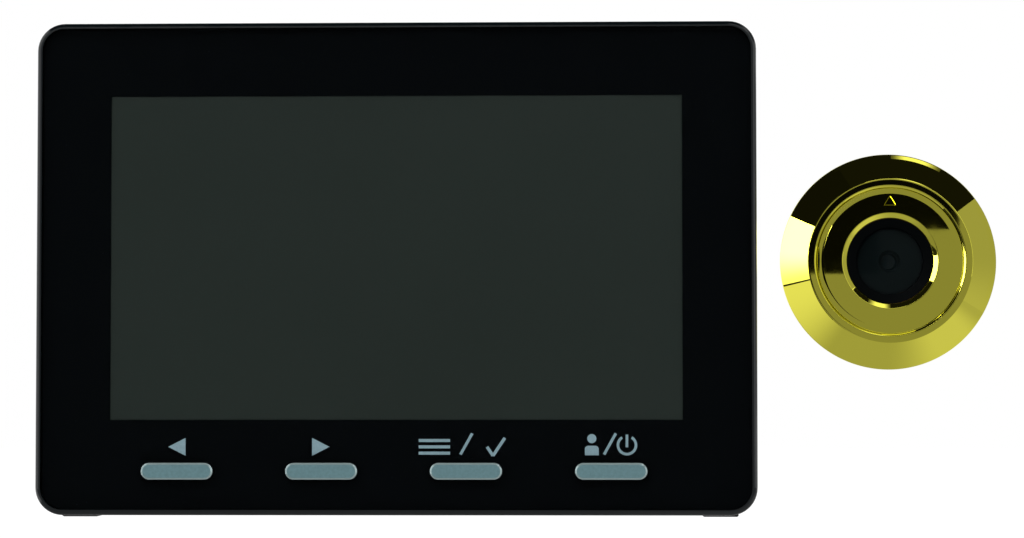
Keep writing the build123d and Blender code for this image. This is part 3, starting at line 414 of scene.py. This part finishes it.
# Boards, cells and optics
def circuit_board(colour):
    """Green solder mask over copper tracks, which show as a lighter pattern."""
    material, tree, place = start_material("solder_masked_board")
    upright = {"Vector": place, "Rotation": (math.pi / 2, 0, 0)}
    bricks = {
        "Vector": add(tree, "Mapping", upright).outputs[0],
        "Scale": per_size(2.4), "Mortar Size": 0.12,
        "Color1": WHITE, "Color2": WHITE, "Mortar": BLACK,
    }
    tracks = add(tree, "TexBrick", bricks).outputs["Fac"]
    ends = {0: tracks, 6: (*colour, 1), 7: (*shade(colour, 1.7), 1)}
    tone = add(tree, "Mix", ends, data_type="RGBA").outputs[2]
    others = {"Base Color": tone, "Roughness": 0.35, "IOR": 1.5}
    return end_material(material, tree, surface(tree, colour, others))


def cell_sleeve(colour):
    """Shrunk plastic sleeve over a steel can: glossy, drawn tight with a faint ripple."""
    material, tree, place = start_material("shrunk_cell_sleeve")
    ripple = add(tree, "TexNoise", {"Vector": place, "Scale": per_size(4), "Detail": 2}).outputs[0]
    others = {"Roughness": 0.2, "IOR": 1.5}
    shader = surface(tree, colour, others, tones=(ripple, 0.9, 1.1), relief=(ripple, 0.02))
    return end_material(material, tree, shader)


def coated_glass(name, tint, ior):
    """Ground and coated optical glass: clear, with a thin cool gloss."""
    return clear_piece(name, ior, (0.9, 0.95, 0.95), tint, (0.02, 0.02))


def dark_lens():
    """The small front lens: deep dark glass with a cool coating that shows at its edge."""
    material, tree, _ = start_material("coated_lens_glass")
    coat = {"Coat Weight": 0.06, "Coat Roughness": 0.02, "Coat Tint": (*linear("#9fb8d8"), 1)}
    others = {"Roughness": 0.05, "IOR": 1.6, "Specular IOR Level": 0.15, **coat}
    return end_material(material, tree, surface(tree, linear("#0a1214"), others))


# Turned rings and the flat front
def camera_axis():
    """The camera unit's centre line, from the clamp washer's place."""
    low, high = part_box("clamp_washer")
    return Vector(((low[0] + high[0]) / 2, 0, (low[2] + high[2]) / 2))


def rounded(corners):
    """The points of a closed profile of (radius, y, width of rounding) corners."""
    points = []
    for at, (r, y, width) in enumerate(corners):
        here = Vector((r, y))
        if not width:
            points.append(here)
            continue
        before = Vector(corners[at - 1][:2]) - here
        after = Vector(corners[(at + 1) % len(corners)][:2]) - here
        start = here + before.normalized() * width
        end = here + after.normalized() * width
        if before.length > 3 * width:
            points.append(start + before.normalized() * SUPPORT)
        for step in range(ROUND_STEPS + 1):
            t = step / ROUND_STEPS
            points.append(start * (1 - t) ** 2 + here * 2 * t * (1 - t) + end * t ** 2)
        if after.length > 3 * width:
            points.append(end + after.normalized() * SUPPORT)
    return points


def turned_mesh(points, steps, closed=True):
    """A bmesh turned from (radius, y) points about the camera's axis."""
    centre = camera_axis()
    bm = bmesh.new()
    verts = [bm.verts.new((centre.x + r, y, centre.z)) for r, y in points]
    for a, b in zip(verts, verts[1:] + verts[:1] if closed else verts[1:]):
        bm.edges.new((a, b))
    bmesh.ops.spin(
        bm, geom=bm.verts[:] + bm.edges[:], cent=centre, axis=(0, 1, 0), dvec=(0, 0, 0),
        angle=2 * math.pi, steps=steps, use_merge=True, use_duplicate=False,
    )
    bmesh.ops.remove_doubles(bm, verts=bm.verts[:], dist=SAME_PLACE)
    return bm


def rounded_box(x, z, width, height, radius):
    """The points of a rounded rectangle in the XZ plane, in order."""
    points = []
    for quarter, (sx, sz) in enumerate(((1, 1), (-1, 1), (-1, -1), (1, -1))):
        for step in range(CORNER_STEPS + 1):
            turn = math.pi / 2 * (quarter + step / CORNER_STEPS)
            points.append((
                x + sx * (width / 2 - radius) + radius * math.cos(turn),
                z + sz * (height / 2 - radius) + radius * math.sin(turn),
            ))
    return points


def plate_wall(bm, box, levels):
    """A wall through (y, growth) levels of a rounded outline; gives its front and back loops."""
    x, z, width, height, radius = box
    loops = []
    for y, growth in levels:
        points = rounded_box(x, z, width + 2 * growth, height + 2 * growth, radius + growth)
        verts = [bm.verts.new((px, y, pz)) for px, pz in points]
        loops.append([bm.edges.new((a, b)) for a, b in zip(verts, verts[1:] + verts[:1])])
    for a, b in zip(loops, loops[1:]):
        bmesh.ops.bridge_loops(bm, edges=a + b)
    return loops[0], loops[-1]


def finish_mesh(bm, name):
    """Turns a bmesh into a piece with outward faces, smooth but for its sharp corners."""
    bmesh.ops.recalc_face_normals(bm, faces=bm.faces[:])
    for face in bm.faces:
        face.smooth = True
    for edge in bm.edges:
        edge.smooth = not (edge.is_manifold and edge.calc_face_angle() > SHARP_ANGLE)
    mesh = bpy.data.meshes.new(name)
    bm.to_mesh(mesh)
    bm.free()
    piece = bpy.data.objects.new(name, mesh)
    bpy.context.scene.collection.objects.link(piece)
    return piece


def settle(piece, body, slot, *materials):
    """Gives a piece its materials, flat shading on its flats and its body; its slot is not used."""
    for material in materials:
        piece.data.materials.append(material)
    flats = piece.modifiers.new("flat faces stay flat", "WEIGHTED_NORMAL")
    flats.keep_sharp = True
    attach(piece, body)


# One operator for each piece or group of like pieces
class DressShell(bpy.types.Operator):
    """Gives the housings, the battery door and the feet their plastics and rubber"""
    bl_idname = "door_viewer.shell"
    bl_label = "Housings"

    def execute(self, context):
        looks = context.scene.viewer_monitor
        fittings = context.scene.viewer_fittings
        dress(gloss_abs(looks), "front_housing")
        dress(textured_abs("spark_textured_abs", looks), "rear_housing", "battery_door")
        dress(rubber(fittings.rubber_colour), "rubber_feet", "camera_gasket")
        return {"FINISHED"}


class DressFront(bpy.types.Operator):
    """Gives the clear front, its print, the marks and the screen their finishes"""
    bl_idname = "door_viewer.front"
    bl_label = "Front and screen"

    def execute(self, context):
        looks = context.scene.viewer_monitor
        dress(black_print(looks), "panel_mask")
        dress(mark_print(looks), "printed_marks")
        dress(screen_glass(looks), "lcd_glass")
        return {"FINISHED"}


class MakeFront(bpy.types.Operator):
    """Makes the clear front, with its four pill holes, a hair off the print behind it"""
    bl_idname = "door_viewer.clear_front"
    bl_label = "Clear front"

    def execute(self, context):
        looks = context.scene.viewer_monitor
        low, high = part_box("front_panel")
        front, back = low[1], high[1] - looks.front_gap
        bm = bmesh.new()
        x, z = (low[0] + high[0]) / 2, (low[2] + high[2]) / 2
        outline = (x, z, high[0] - low[0], high[2] - low[2], looks.front_corner)
        levels = [(front, -looks.front_edge), (front + looks.front_edge, 0), (back, 0)]
        fronts, backs = plate_wall(bm, outline, levels)
        outer_faces = len(bm.faces)
        for name in BUTTONS:
            first, last = plate_wall(bm, self.pill(name, looks), [(front, 0), (back, 0)])
            fronts, backs = fronts + first, backs + last
        bm.faces.ensure_lookup_table()
        for face in bm.faces[outer_faces:]:
            face.material_index = 1
        bmesh.ops.triangle_fill(bm, edges=fronts, use_beauty=True)
        bmesh.ops.triangle_fill(bm, edges=backs, use_beauty=True)
        piece = finish_mesh(bm, "clear_front")
        print_black = bpy.data.materials["screen_printed_black"]
        settle(piece, "monitor", "panel_acrylic", clear_acrylic(), print_black)
        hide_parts("front_panel")
        return {"FINISHED"}

    def pill(self, name, looks):
        """The hole for one button, from the button's own box."""
        low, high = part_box(name)
        spare = 2 * (looks.button_flange - looks.button_play)
        width, height = high[0] - low[0] - spare, high[2] - low[2] - spare
        return (low[0] + high[0]) / 2, (low[2] + high[2]) / 2, width, height, height / 2


class DressButtons(bpy.types.Operator):
    """Gives the four pill buttons their satin faces and polished rims"""
    bl_idname = "door_viewer.buttons"
    bl_label = "Buttons"

    def execute(self, context):
        looks = context.scene.viewer_monitor
        dress(button_metal(looks), *BUTTONS)
        return {"FINISHED"}


class DressBoards(bpy.types.Operator):
    """Gives the boards, chips, sockets, cells and other inner parts their finishes"""
    bl_idname = "door_viewer.boards"
    bl_label = "Inside"

    def execute(self, context):
        fittings = context.scene.viewer_fittings
        dress(circuit_board(fittings.board_colour), "main_board", "key_board", "sensor_board")
        dress(cell_sleeve(fittings.cell_colour), *["battery_cell_%d" % n for n in range(1, 5)])
        dress(
            plated_steel(fittings.steel_colour), "lcd_frame", "battery_contacts", "card_socket",
            "usb_socket", "housing_screws", "board_screws", "clamp_washer",
        )
        black = moulded_plastic("moulded_black_nylon", linear("#26282a"), 0.4)
        dress(black, "key_switches", "processor_chip", "memory_chip", "speaker", "memory_card")
        white = moulded_plastic("moulded_white_nylon", linear("#dcd8cc"), 0.4)
        plungers = [side + "_plunger" for side in ("left", "right", "menu", "power")]
        dress(white, "ribbon_socket", "tail_socket", *plungers)
        dress(moulded_plastic("light_guide_acrylic", linear("#e4e8e8"), 0.15), "light_guide")
        dress(moulded_plastic("sensor_cover", linear("#4a5668"), 0.1), "image_sensor")
        return {"FINISHED"}


class DressBracket(bpy.types.Operator):
    """Gives the door bracket its textured plastic"""
    bl_idname = "door_viewer.bracket"
    bl_label = "Door bracket"

    def execute(self, context):
        looks = context.scene.viewer_monitor
        dress(textured_abs("textured_bracket_abs", looks), "door_bracket")
        return {"FINISHED"}


class MakeFlange(bpy.types.Operator):
    """Turns the gold cone, with its flatter outer edge and its rounded corners"""
    bl_idname = "door_viewer.flange"
    bl_label = "Gold flange"

    def execute(self, context):
        looks = context.scene.viewer_camera
        low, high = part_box("camera_flange")
        front, seat = low[1], high[1]
        outer, rim = looks.flange_radius, seat - looks.flange_edge
        shelf = seat - looks.seat_depth
        collar = shelf + looks.collar_depth
        soft = looks.edge_round
        corners = [
            (looks.flange_bore, seat, 0),
            (outer, seat, soft / 2),
            (outer, rim, soft),
            (outer - looks.flare_width, rim - looks.flare_rise, 2 * soft),
            (looks.cone_front, front, soft),
            (looks.land_inner, front, soft / 2),
            (looks.seat_radius, front + looks.land_bevel, 0),
            (looks.seat_radius, shelf, 0),
            (looks.collar_radius, shelf, 0),
            (looks.collar_radius, collar, 0),
            (looks.flange_bore, collar, 0),
        ]
        piece = finish_mesh(turned_mesh(rounded(corners), looks.steps), "gold_flange")
        settle(piece, "door_side", "gold_plate", gold_plate(looks))
        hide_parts("camera_flange")
        return {"FINISHED"}


class MakeRing(bpy.types.Operator):
    """Turns the mirror ring with its sloping edges, and cuts the small upright mark"""
    bl_idname = "door_viewer.ring"
    bl_label = "Mirror ring"

    def execute(self, context):
        looks = context.scene.viewer_camera
        low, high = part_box("face_ring")
        front, back = low[1] + looks.ring_rise, high[1]
        soft = looks.edge_round
        corners = [
            (looks.lip_inner, back, 0),
            (looks.ring_radius, back, 0),
            (looks.ring_radius, front + looks.ring_fall, soft / 2),
            (looks.ring_radius - looks.ring_slope, front, soft),
            (looks.lip_outer, front, soft / 3),
            (looks.lip_inner, front + looks.lip_fall, soft / 2),
        ]
        blank = finish_mesh(turned_mesh(rounded(corners), looks.steps), "ring_blank")
        cutter = self.mark_cutter(looks, front)
        cut = blank.modifiers.new("mark", "BOOLEAN")
        cut.operation = "DIFFERENCE"
        cut.solver = "EXACT"
        cut.object = cutter
        bm = bmesh.new()
        bm.from_object(blank, context.evaluated_depsgraph_get())
        bpy.data.objects.remove(blank)
        bpy.data.objects.remove(cutter)
        piece = finish_mesh(bm, "mirror_ring")
        settle(piece, "door_side", "gold_plate", bpy.data.materials["polished_gold_plate"])
        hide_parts("face_ring")
        return {"FINISHED"}

    def mark_cutter(self, looks, front):
        """A triangular plug, apex up, whose walls lean out towards the viewer."""
        centre = camera_axis()
        half, rise = looks.mark_width / 2, looks.mark_height
        low = centre.z + looks.mark_place - rise / 2
        bm = bmesh.new()
        bottom = [
            bm.verts.new((centre.x + px * half, front + looks.mark_depth, low + pz * rise))
            for px, pz in ((-1, 0), (1, 0), (0, 1))
        ]
        floor = bm.faces.new(bottom)
        wall = bmesh.ops.extrude_face_region(bm, geom=[floor])
        top = [v for v in wall["geom"] if isinstance(v, bmesh.types.BMVert)]
        bmesh.ops.translate(bm, vec=(0, -2 * looks.mark_depth, 0), verts=top)
        middle = Vector((centre.x, 0, low + rise / 3))
        lean = 1 + 2 * looks.mark_draft / half
        bmesh.ops.scale(bm, vec=(lean, 1, lean), space=Matrix.Translation(-middle), verts=top)
        return finish_mesh(bm, "mark_cutter")


class DressOptics(bpy.types.Operator):
    """Gives the window's bezel, the lens tube, the hood, the lenses and the filter their glass and
    black
    """
    bl_idname = "door_viewer.optics"
    bl_label = "Window and optics"

    def execute(self, context):
        looks = context.scene.viewer_camera
        black = moulded_plastic("black_anodised_aluminium", linear("#020405"), 0.45, 0.03)
        dress(black, "window_bezel", "lens_barrel", "lens_spacer", "lens_mount")
        dress(moulded_plastic("moulded_lens_hood", list(looks.hood_colour), 0.5, 0.04), "lens_hood")
        dress(dark_lens(), "front_lens")
        dress(coated_glass("coated_rear_glass", (0.8, 0.9, 1.0), 1.5), "rear_lens", "light_filter")
        return {"FINISHED"}


class MakeWindow(bpy.types.Operator):
    """Turns the clear window, a hair off the black disc behind it"""
    bl_idname = "door_viewer.window"
    bl_label = "Window"

    def execute(self, context):
        looks = context.scene.viewer_camera
        low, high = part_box("lens_window")
        radius = (high[0] - low[0]) / 2 + looks.window_fit
        soft = looks.edge_round / 10
        front, back = low[1], high[1] - looks.window_gap
        clear = radius - looks.window_border
        points = [
            (0, front), (radius - soft, front), (radius, front + soft),
            (radius, back), (clear, back), (0, back),
        ]
        bm = turned_mesh(points, looks.steps, closed=False)
        for face in bm.faces:
            place = face.calc_center_median() - camera_axis()
            border = math.hypot(place.x, place.z) > clear and place.y > (front + back) / 2
            face.material_index = int(border)
        piece = finish_mesh(bm, "clear_window")
        glass = coated_glass("coated_window_glass", (0.85, 1.0, 0.98), 1.2)
        print_black = bpy.data.materials["screen_printed_black"]
        settle(piece, "door_side", "optic_glass", glass, print_black)
        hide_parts("lens_window")
        return {"FINISHED"}


class DressBarrel(bpy.types.Operator):
    """Gives the barrel and its clamp nut their turned brass"""
    bl_idname = "door_viewer.barrel"
    bl_label = "Barrel and nut"

    def execute(self, context):
        dress(turned_brass(context.scene.viewer_camera), "camera_barrel", "clamp_nut")
        return {"FINISHED"}


# The floor's half width and its glow, the lamp and the camera, in metres and degrees
FLOOR_HALF = 3.0
FLOOR_GLOW = 0.42
LAMP_SIZE = (0.5, 0.35)
LAMP_PLACE = (-0.25, -0.75, 0.6)
LAMP_AIM = (0.02, -0.02, 0)
SENSOR_WIDTH = 36
LENS_LENGTH = 105.47
CAMERA_PLACE = (0.03516, -0.51811, -0.031245)
CAMERA_TURNS = (("Z", 1.827), ("X", 92.484), ("Z", -0.026))

# Cards: name, low and high corner in mm, the axis along which the light changes, where the
# change starts and ends on it in mm, and the light's strength at the start and at the end
CARDS = (
    ("card_front_dark", (-220, -545, -400), (95, -545, 110), "X", (0, 1), (0.003, 0.003)),
    ("card_front_left", (95, -545, 12.5), (130, -545, 110), "X", (0, 1), (0.003, 0.003)),
    ("card_front_top", (130, -545, 28), (158, -545, 110), "X", (0, 1), (0.003, 0.003)),
    ("card_front_grey", (-700, -550, -600), (700, -550, 600), "X", (0, 1), (0.28, 0.28)),
    ("card_top", (-120, -105, 100), (62, 100, 100), "X", (0, 1), (0.008, 0.008)),
    ("card_top_camera", (62, -60, 100), (260, 100, 100), "X", (0, 1), (0.008, 0.008)),
    ("card_top_rise", (95, -60, 99.5), (112, -12, 99.5), "X", (95, 112), (0.1, 1.3)),
    ("card_top_fall", (112, -60, 99.5), (152, -12, 99.5), "X", (126, 152), (1.3, 0.1)),
    ("card_side_high", (62.5, -10, 2.6), (62.5, 0, 40), "Z", (0, 1), (0.006, 0.006)),
    ("card_side", (62.5, -10, -12.2), (62.5, 0, 2.6), "Z", (-12.2, -5), (1.6, 7)),
    ("card_side_low", (62.5, -10, -80), (62.5, 0, -12.6), "Z", (-42, -12.6), (0.40, 0.9)),
    ("card_side_foot", (62.5, -16, -80), (62.5, -10, -30), "Z", (0, 1), (0.40, 0.40)),
    ("card_lip", (72, -17.5, -8.3), (72, -12.5, 0), "Z", (0, 1), (6, 6)),
    ("card_low_screen", (-120, -80, -82), (58, 100, -82), "X", (20, 56), (0.3, 0.40)),
    ("card_low", (58, -80, -82), (150, 100, -82), "X", (85, 135), (0.40, 0.66)),
    ("card_low_right", (150, -80, -82), (400, 100, -82), "X", (175, 235), (0.66, 0.46)),
    ("card_low_front", (-400, -560, -82), (700, -80, -82), "X", (0, 1), (0.28, 0.28)),
    ("card_right", (140, -30, -34), (140, 100, 32.4), "Z", (-34, -2), (0.50, 0.38)),
)


class MakeStage(bpy.types.Operator):
    """Sets the floor, the studio light, the reflection cards and the camera"""
    bl_idname = "door_viewer.stage"
    bl_label = "Stage"

    def execute(self, context):
        looks = context.scene.viewer_stage
        scene = context.scene
        scene.view_settings.view_transform = "Standard"
        self.world(scene, looks)
        self.floor(looks)
        self.lamp(scene, looks)
        self.cards()
        self.camera(scene)
        return {"FINISHED"}

    def seen_rays(self, tree):
        """1 for rays from the camera, from gloss and through clear pieces, else 0."""
        path = add(tree, "LightPath").outputs
        first = add(
            tree, "Math", {0: path["Is Camera Ray"], 1: path["Is Glossy Ray"]}, operation="MAXIMUM"
        )
        return add(
            tree, "Math", {0: first.outputs[0], 1: path["Is Transmission Ray"]}, operation="MAXIMUM"
        ).outputs[0]

    def world(self, scene, looks):
        """White to the eye, a little lower as a light."""
        world = bpy.data.worlds.new("studio")
        world.use_nodes = True
        tree = world.node_tree
        tree.nodes.clear()
        light = add(tree, "Background", {"Color": WHITE, "Strength": looks.sky})
        white = add(tree, "Background", {"Color": WHITE, "Strength": 1.0})
        both = add(
            tree, "MixShader", {0: self.seen_rays(tree), 1: light.outputs[0], 2: white.outputs[0]}
        )
        add(tree, "OutputWorld", {"Surface": both.outputs[0]})
        scene.world = world

    def floor(self, looks):
        """A pale floor below the object, which keeps its shadow."""
        bm = bmesh.new()
        level = CAD_BOX[0][2] - looks.floor_drop
        place = Matrix.Translation((0, 0, level))
        bmesh.ops.create_grid(bm, x_segments=1, y_segments=1, size=FLOOR_HALF, matrix=place)
        floor = finish_mesh(bm, "floor")
        material, tree, _ = start_material("pale_painted_floor")
        base = add(tree, "BsdfDiffuse", {"Color": (0.8, 0.8, 0.8, 1)})
        lift = add(tree, "Math", {0: self.seen_rays(tree), 1: FLOOR_GLOW}, operation="MULTIPLY")
        glow = add(tree, "Emission", {"Color": WHITE, "Strength": lift.outputs[0]})
        both = add(tree, "AddShader", {0: base.outputs[0], 1: glow.outputs[0]})
        floor.data.materials.append(end_material(material, tree, both))

    def lamp(self, scene, looks):
        """One soft lamp above and in front, to the left."""
        data = bpy.data.lights.new("key", "AREA")
        data.shape = "RECTANGLE"
        data.size, data.size_y = LAMP_SIZE
        data.energy = looks.key
        lamp = bpy.data.objects.new("key", data)
        lamp.location = LAMP_PLACE
        aim = Vector(LAMP_AIM) - lamp.location
        lamp.rotation_euler = aim.to_track_quat("-Z", "Y").to_euler()
        scene.collection.objects.link(lamp)

    def cards(self):
        """Studio cards that only gloss sees: dark over and before the object, bright beside it."""
        for name, low, high, axis, span, strengths in CARDS:
            low, high = Vector(low) * MM, Vector(high) * MM
            flat = [at for at in range(3) if low[at] == high[at]][0]
            a, b = [at for at in range(3) if at != flat]
            corners = [low.copy() for step in range(4)]
            corners[1][a] = corners[2][a] = high[a]
            corners[2][b] = corners[3][b] = high[b]
            bm = bmesh.new()
            face = bm.faces.new([bm.verts.new(corner) for corner in corners])
            face.normal_update()
            if face.normal.dot(camera_axis() - (low + high) / 2) < 0:
                bmesh.ops.reverse_faces(bm, faces=[face])
            mesh = bpy.data.meshes.new(name)
            bm.to_mesh(mesh)
            bm.free()
            card = bpy.data.objects.new(name, mesh)
            bpy.context.scene.collection.objects.link(card)
            mesh.materials.append(self.card_light(name, axis, span, strengths))
            card.visible_camera = False
            card.visible_diffuse = False
            card.visible_shadow = False
            card.visible_transmission = False

    def card_light(self, name, axis, span, strengths):
        """A card's light, from one strength to the other along an axis, with none behind it."""
        material, tree, place = start_material(name)
        along = add(tree, "SeparateXYZ", {"Vector": place}).outputs[axis]
        strength = add(
            tree, "MapRange",
            {"Value": along, "From Min": span[0] * MM, "From Max": span[1] * MM,
             "To Min": strengths[0], "To Max": strengths[1]},
            interpolation_type="SMOOTHSTEP",
        ).outputs[0]
        glow = add(tree, "Emission", {"Color": WHITE, "Strength": strength})
        clear = add(tree, "BsdfTransparent")
        behind = add(tree, "NewGeometry").outputs["Backfacing"]
        both = add(tree, "MixShader", {0: behind, 1: glow.outputs[0], 2: clear.outputs[0]})
        return end_material(material, tree, both)

    def camera(self, scene):
        """The photograph's place: a little below the middle, square to the front."""
        data = bpy.data.cameras.new("camera")
        data.sensor_width = SENSOR_WIDTH
        data.lens = LENS_LENGTH
        camera = bpy.data.objects.new("camera", data)
        camera.location = CAMERA_PLACE
        turn = Matrix.Identity(3)
        for axis, degrees in CAMERA_TURNS:
            turn = turn @ Matrix.Rotation(math.radians(degrees), 3, axis)
        camera.rotation_euler = turn.to_euler()
        scene.collection.objects.link(camera)
        scene.camera = camera


class ViewerPanel(bpy.types.Panel):
    """Lists the door viewer's steps and its sizes and colours"""
    bl_idname = "VIEW3D_PT_door_viewer"
    bl_label = "Door viewer"
    bl_space_type = "VIEW_3D"
    bl_region_type = "UI"
    bl_category = "Door viewer"

    def draw(self, context):
        for operator in OPERATORS:
            self.layout.operator(operator.bl_idname)
        for name in GROUPS:
            looks = getattr(context.scene, name)
            box = self.layout.box()
            for key in looks.__annotations__:
                box.prop(looks, key)


OPERATORS = (
    DressShell, DressFront, MakeFront, DressButtons, DressBoards, DressBracket,
    MakeFlange, MakeRing, DressOptics, MakeWindow, DressBarrel, MakeStage,
)
GROUPS = {
    "viewer_monitor": MonitorLooks, "viewer_camera": CameraLooks,
    "viewer_fittings": FittingLooks, "viewer_stage": StageLooks,
}


def register():
    for group in GROUPS.values():
        bpy.utils.register_class(group)
    for name, group in GROUPS.items():
        setattr(bpy.types.Scene, name, PointerProperty(type=group))
    for operator in OPERATORS:
        bpy.utils.register_class(operator)
    bpy.utils.register_class(ViewerPanel)


def unregister():
    bpy.utils.unregister_class(ViewerPanel)
    for operator in reversed(OPERATORS):
        bpy.utils.unregister_class(operator)
    for name, group in GROUPS.items():
        delattr(bpy.types.Scene, name)
        bpy.utils.unregister_class(group)


def main():
    """Runs every step in order."""
    register()
    for operator in OPERATORS:
        group, step = operator.bl_idname.split(".")
        getattr(getattr(bpy.ops, group), step)()


if __name__ == "__main__":
    main()
